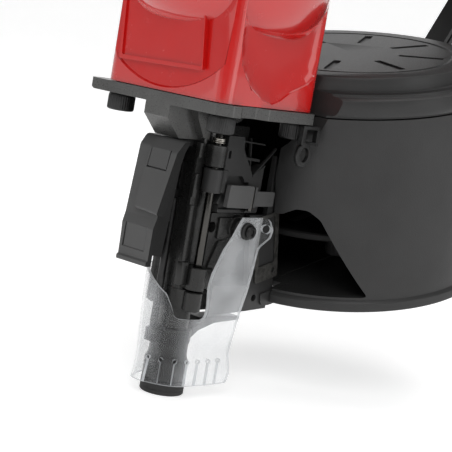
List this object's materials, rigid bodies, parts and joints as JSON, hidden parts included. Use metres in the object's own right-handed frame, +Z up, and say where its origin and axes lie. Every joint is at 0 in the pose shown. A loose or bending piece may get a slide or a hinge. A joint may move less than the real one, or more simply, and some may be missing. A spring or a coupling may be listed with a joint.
{
  "type": "coil roofing nailer",
  "caption": "Pneumatic coil roofing nailer with a red housing, a tilted drum magazine, a hinged feed door, a sliding contact foot and a clear chip shield.",
  "frame": {"origin": "bottom centre of the tool's bounding box, under the middle of its length, at the level of the contact tip", "axes": "+Z up along the driving axis from the contact tip to the exhaust deflector, +X towards the handle's air plug, +Y towards the side with the feed cylinder"},
  "size_m": [0.2715, 0.1148, 0.2743],
  "materials": {
    "red_paint": "gloss",
    "cast_grey": "dark anodised casting",
    "black_steel": "black oxide",
    "bright_steel": "nickel plated",
    "black_plastic": "satin",
    "grey_plastic": "satin",
    "rubber": "matt",
    "aluminium": "machined",
    "clear_plastic": "clear"
  },
  "bodies": {
    "tool": {"main_housing": "red_paint", "cylinder_cap": "black_plastic", "cap_gasket": "rubber", "cap_screw_front_right": "black_steel", "cap_screw_front_left": "black_steel", "cap_screw_rear_left": "black_steel", "cap_screw_rear_right": "black_steel", "nose_body": "cast_grey", "nose_screw_front_right": "black_steel", "nose_screw_front_left": "black_steel", "nose_screw_rear_left": "black_steel", "nose_screw_rear_right": "black_steel", "cylinder_sleeve": "aluminium", "bumper": "rubber", "grip_sleeve": "rubber", "end_cap": "aluminium", "air_plug": "bright_steel", "trigger_valve": "black_plastic", "trigger_pin": "bright_steel", "front_cover": "grey_plastic", "door_hinge_pin": "bright_steel", "door_hinge_spring": "bright_steel", "magazine_body": "black_plastic", "magazine_hinge_pin": "bright_steel", "magazine_hanger": "black_plastic", "hanger_screw_top": "black_steel", "hanger_screw_bottom": "black_steel", "magazine_bracket": "black_steel", "wear_plate": "bright_steel", "platform_post": "grey_plastic", "chip_shield": "clear_plastic", "shield_screw_left": "black_steel", "shield_screw_right": "black_steel", "shield_grommet_left": "rubber", "shield_grommet_right": "rubber", "feed_cylinder": "aluminium", "feed_spring": "bright_steel", "deflector_screw": "black_steel", "contact_spring": "bright_steel", "head_valve_spring": "bright_steel"},
    "trigger": {"trigger": "black_plastic"},
    "plunger": {"valve_plunger": "bright_steel"},
    "contact_arm": {"contact_foot": "black_steel", "contact_tip": "rubber", "contact_rod": "black_steel", "contact_link": "black_steel"},
    "depth_wheel": {"depth_wheel": "black_plastic"},
    "piston": {"piston": "aluminium", "piston_ring": "rubber", "driver_blade": "bright_steel"},
    "head_valve": {"head_valve": "grey_plastic"},
    "feed": {"feed_piston": "bright_steel", "feed_pawl": "black_steel"},
    "door": {"feed_door": "black_plastic", "latch_pin": "bright_steel"},
    "latch": {"door_latch": "black_plastic"},
    "cover": {"magazine_cover": "black_plastic"},
    "platform": {"nail_platform": "grey_plastic"},
    "deflector": {"exhaust_deflector": "black_plastic"}
  },
  "joints": [
    {"name": "trigger_pull", "type": "hinge", "parent": "tool", "child": "trigger", "pos_m": [-0.05453, 0.005, 0.16506], "axis": [0, -1, 0], "range_deg": [0, 5], "stiffness_Nm_per_rad": 0.8, "springref_deg": -2.86},
    {"name": "plunger_press", "type": "slide", "parent": "tool", "child": "plunger", "axis": [-0.0872, 0, 0.9962], "range_m": [0, 0.0015]},
    {"name": "contact_slide", "type": "slide", "parent": "tool", "child": "contact_arm", "axis": [0, 0, 1], "range_m": [0, 0.008], "stiffness_N_per_m": 900, "springref_m": -0.003, "deforming": ["contact_spring"]},
    {"name": "depth_wheel_turn", "type": "hinge", "parent": "contact_arm", "child": "depth_wheel", "pos_m": [-0.11465, 0.0053, 0.068], "axis": [0, 0, 1], "continuous": true},
    {"name": "piston_stroke", "type": "slide", "parent": "tool", "child": "piston", "axis": [0, 0, -1], "range_m": [0, 0.096]},
    {"name": "head_valve_lift", "type": "slide", "parent": "tool", "child": "head_valve", "axis": [0, 0, 1], "range_m": [0, 0.003], "stiffness_N_per_m": 600, "springref_m": -0.003, "deforming": ["head_valve_spring"]},
    {"name": "feed_slide", "type": "slide", "parent": "tool", "child": "feed", "axis": [1, 0, 0], "range_m": [0, 0.009], "stiffness_N_per_m": 400, "springref_m": -0.004, "deforming": ["feed_spring"]},
    {"name": "door_swing", "type": "hinge", "parent": "tool", "child": "door", "pos_m": [-0.10125, -0.0052, 0.082], "axis": [0, 0, -1], "range_deg": [0, 110]},
    {"name": "latch_turn", "type": "hinge", "parent": "door", "child": "latch", "pos_m": [-0.08075, -0.0084, 0.077], "axis": [0, 0, -1], "range_deg": [0, 12], "stiffness_Nm_per_rad": 0.05, "springref_deg": -5.73},
    {"name": "cover_swing", "type": "hinge", "parent": "tool", "child": "cover", "pos_m": [0.04905, 0, 0.09704], "axis": [-0.225, 0, 0.9744], "range_deg": [0, 100]},
    {"name": "platform_slide", "type": "slide", "parent": "tool", "child": "platform", "axis": [-0.225, 0, 0.9744], "range_m": [-0.008, 0.022]},
    {"name": "deflector_turn", "type": "hinge", "parent": "tool", "child": "deflector", "pos_m": [-0.09775, 0.005, 0.266], "axis": [0, 0, 1], "continuous": true}
  ],
  "couplings": [
    {"joint": "plunger_press", "follows": "trigger_pull", "m_per_rad": 0.017}
  ]
}
